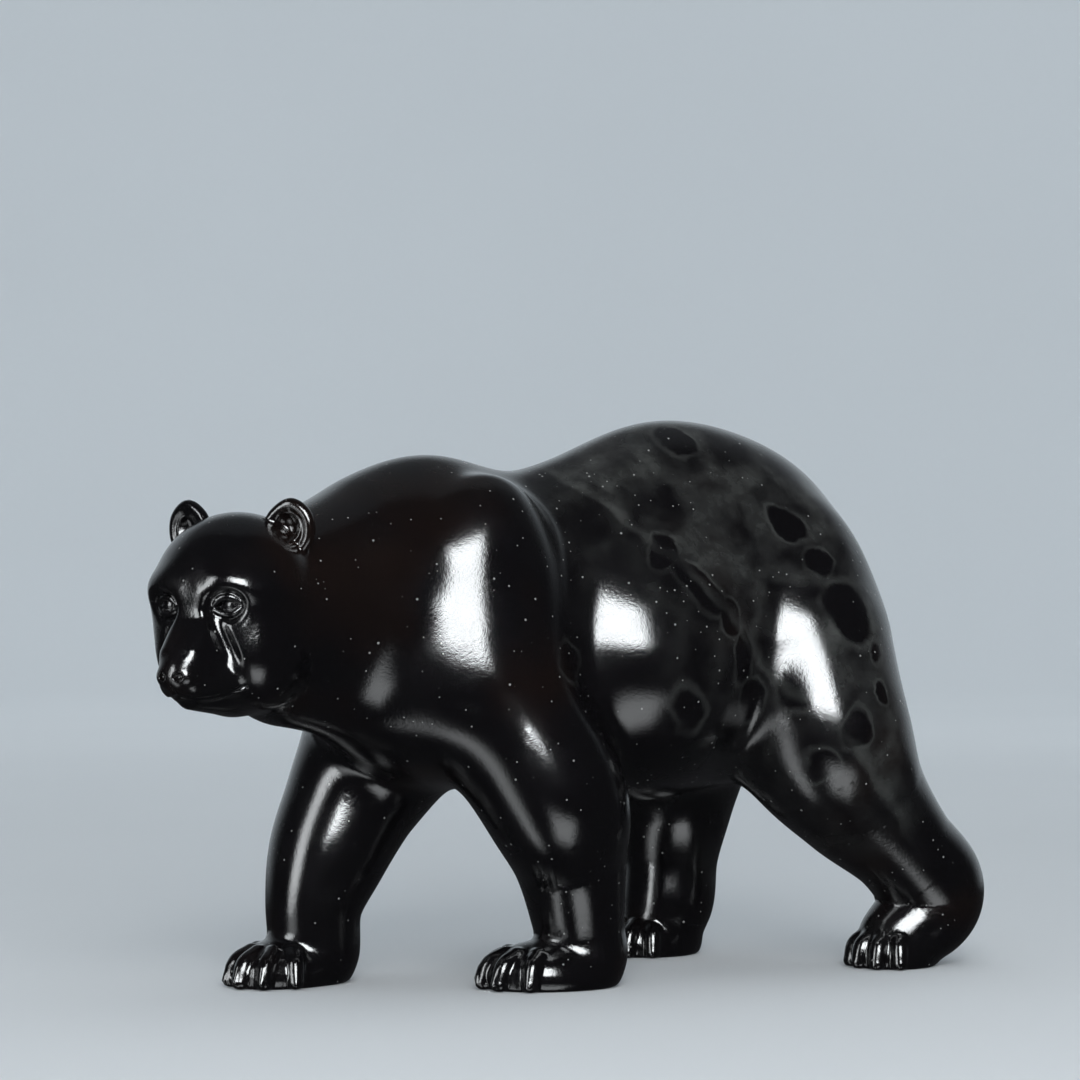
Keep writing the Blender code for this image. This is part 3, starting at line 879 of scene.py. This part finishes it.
def add_room():
    """A pale floor that curves up into a pale wall all around, under a pale ceiling."""
    profile = [(ROOM_RADIUS * step / ROOM_STEPS, 0.0) for step in range(1, ROOM_STEPS + 1)]
    for step in range(1, ROOM_STEPS + 1):
        angle = math.pi / 2 * step / ROOM_STEPS
        profile.append((ROOM_RADIUS + ROOM_BEND * math.sin(angle), ROOM_BEND * (1.0 - math.cos(angle))))
    profile.append((ROOM_RADIUS + ROOM_BEND, ROOM_HEIGHT))
    body = bmesh.new()
    rings = []
    for radius, height in profile:
        ring = []
        for side in range(ROOM_SIDES):
            angle = 2 * math.pi * side / ROOM_SIDES
            ring.append(body.verts.new((radius * math.cos(angle), radius * math.sin(angle), height)))
        rings.append(ring)
    centre = body.verts.new((0.0, 0.0, 0.0))
    for side in range(ROOM_SIDES):
        after = (side + 1) % ROOM_SIDES
        body.faces.new((centre, rings[0][side], rings[0][after]))
        for inner, outer in zip(rings, rings[1:]):
            body.faces.new((inner[side], outer[side], outer[after], inner[after]))
    body.faces.new(reversed(rings[-1]))
    mesh = bpy.data.meshes.new("room")
    body.to_mesh(mesh)
    body.free()
    mesh.shade_smooth()
    room = bpy.data.objects.new("room", mesh)
    bpy.context.scene.collection.objects.link(room)
    room.visible_glossy = False
    room.data.materials.append(pale_paper())


def aimed_light(name, azimuth, elevation, distance, width, height, radiance, target=(0.0, 0.0, 0.1)):
    """A soft box that looks at the target from a direction, given as degrees from +X towards +Y."""
    light = bpy.data.lights.new(name, "AREA")
    light.shape = "RECTANGLE"
    light.size = width
    light.size_y = height
    light.energy = radiance * math.pi * width * height
    box = bpy.data.objects.new(name, light)
    bpy.context.scene.collection.objects.link(box)
    across = math.cos(math.radians(elevation))
    way = Vector((
        across * math.cos(math.radians(azimuth)),
        across * math.sin(math.radians(azimuth)),
        math.sin(math.radians(elevation)),
    ))
    box.location = Vector(target) + distance * way
    box.rotation_euler = (-way).to_track_quat("-Z", "Y").to_euler()
    box.visible_camera = False
    return box


# The camera's direction from the bear, in degrees from +X towards +Y.
CAMERA_HEADING = -122.0

# What the lacquer mirrors besides the key light: middle and half-width in degrees to the right
# of the camera, lowest and highest elevation, softness of the edge, and brightness.
KEY_PATCH = (7.0, 14.5, 8.0, 38.0, 2.5, 22.0)
MIRRORED = (
    (-50.0, 9.0, -8.0, 34.0, 4.0, 8.0),
    (-50.0, 10.0, -66.0, -12.0, 8.0, 2.0),
    (20.0, 19.0, -60.0, -34.0, 7.0, 2.3),
)
PANEL_COLOUR = (0.94, 0.98, 1.0)
DARK_ROOM = (0.022, 0.023, 0.025, 1.0)
PALE_WALL = (0.36, 0.40, 0.43, 1.0)


def mirrored_patch(nodes, heading, elevation, patch):
    """One soft-edged rectangle in the surroundings."""
    middle, half_width, low, high, softness, brightness = patch
    aside = nodes.math("ABSOLUTE", nodes.math("SUBTRACT", heading, middle))
    across = nodes.ramp(aside, half_width - softness, half_width + softness, brightness, 0.0)
    above = nodes.ramp(elevation, low - softness, low + softness)
    below = nodes.ramp(elevation, high - softness, high + softness, 1.0, 0.0)
    return nodes.math("MULTIPLY", across, nodes.math("MULTIPLY", above, below))


def add_surroundings():
    """What the lacquer mirrors: a pale wall behind the bear, and darkness with a few soft panels."""
    world = bpy.data.worlds.new("surroundings")
    bpy.context.scene.world = world
    # The room hides the surroundings from all but mirrored rays, so they need no sampling as a lamp.
    world.cycles.sampling_method = "NONE"
    world.use_nodes = True
    nodes = Nodes(world.node_tree)
    way = nodes.make("ShaderNodeTexCoord")
    turned = nodes.make(
        "ShaderNodeMapping", Vector=way, Rotation=(0.0, 0.0, math.radians(-CAMERA_HEADING))
    )
    parts = world.node_tree.nodes.new("ShaderNodeSeparateXYZ")
    nodes.fill(parts.inputs[0], turned)
    heading = nodes.math("DEGREES", nodes.math("ARCTAN2", parts.outputs[1], parts.outputs[0]))
    elevation = nodes.math("DEGREES", nodes.math("ARCSINE", parts.outputs[2]))
    behind = nodes.ramp(nodes.math("ABSOLUTE", heading), 105.0, 140.0)
    wall = nodes.math("MULTIPLY", behind, nodes.ramp(elevation, -6.0, 0.0))
    wall = nodes.math("MULTIPLY", wall, nodes.ramp(elevation, 24.0, 45.0, 1.0, 0.2))
    colour = nodes.mix(wall, DARK_ROOM, PALE_WALL)
    key = mirrored_patch(nodes, heading, elevation, KEY_PATCH)
    off_middle = nodes.make(
        "ShaderNodeVectorMath", output=1, settings={"operation": "DISTANCE"},
        _0=nodes.make("ShaderNodeCombineXYZ", _0=heading, _1=elevation),
        _1=(KEY_PATCH[0], (KEY_PATCH[2] + KEY_PATCH[3]) / 2, 0.0),
    )
    lamp = nodes.ramp(off_middle, 3.6, 5.4, 1.5, 0.62)
    lamp = nodes.math("ADD", lamp, nodes.ramp(off_middle, 7.0, 11.0, 0.0, 0.38))
    panels = nodes.math("MULTIPLY", key, lamp)
    for patch in MIRRORED:
        panels = nodes.math("ADD", panels, mirrored_patch(nodes, heading, elevation, patch))
    glow = nodes.make(
        "ShaderNodeVectorMath", settings={"operation": "MULTIPLY_ADD"}, _0=panels, _1=PANEL_COLOUR, _2=colour
    )
    background = world.node_tree.nodes["Background"]
    nodes.fill(background.inputs["Color"], glow)
    background.inputs["Strength"].default_value = 1.0


def add_lights():
    """A large soft box above the camera, and a soft light overhead that the lacquer doesn't mirror."""
    key = aimed_light(
        "key", azimuth=-116.0, elevation=25.0, distance=1.4, width=0.66, height=0.88, radiance=7.0
    )
    key.visible_glossy = False
    overhead = aimed_light(
        "overhead", azimuth=0.0, elevation=90.0, distance=2.3, width=2.4, height=2.4, radiance=0.55
    )
    overhead.visible_glossy = False


def set_tones():
    """Show black as black and white as white, as the photograph does."""
    bpy.context.scene.view_settings.view_transform = "Standard"


def main():
    """Draw the bear, dress it and set the studio."""
    bear, shift = drawn_bear()
    bear.data.materials.append(black_lacquer(shift))
    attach(bear, "root")
    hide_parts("bear")
    add_camera(shift)
    add_room()
    add_lights()
    add_surroundings()
    set_tones()


main()
